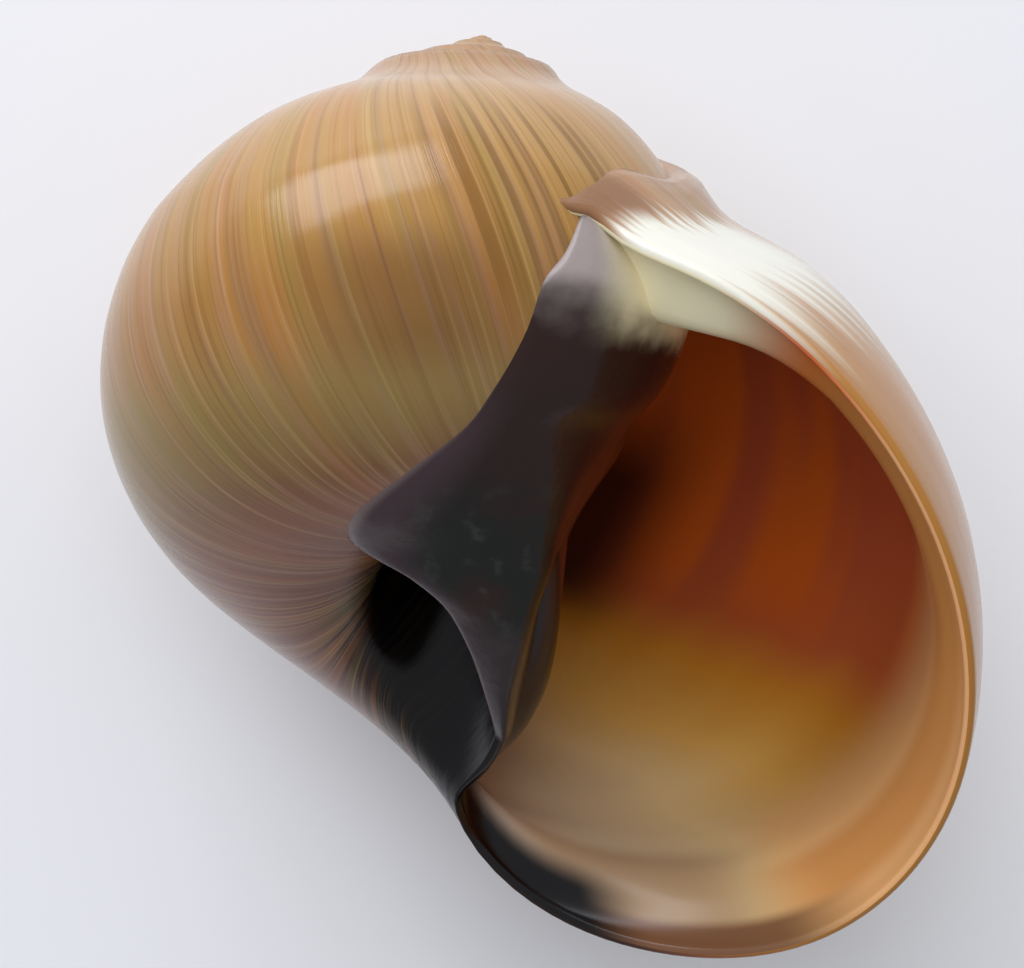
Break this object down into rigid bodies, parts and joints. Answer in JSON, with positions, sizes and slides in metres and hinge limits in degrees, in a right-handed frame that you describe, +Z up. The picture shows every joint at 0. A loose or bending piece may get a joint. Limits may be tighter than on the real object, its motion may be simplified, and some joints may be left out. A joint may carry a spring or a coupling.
{
  "type": "moon snail shell",
  "caption": "Empty globular moon snail shell with a low spire, a wide half-moon mouth, a dark callus beside it and an open navel.",
  "frame": {"origin": "middle of the worn spot on the shell's back, which it rests on", "axes": "+Z up out of the table, with the mouth facing up; +Y towards the spire; +X towards the outer lip"},
  "size_m": [0.0406, 0.0437, 0.0335],
  "materials": {
    "shell": "polished natural shell: tan and orange-brown with fine growth stripes, cream lip, slate-brown callus, orange-brown inside"
  },
  "bodies": {
    "root": {"shell": "shell"}
  },
  "joints": []
}
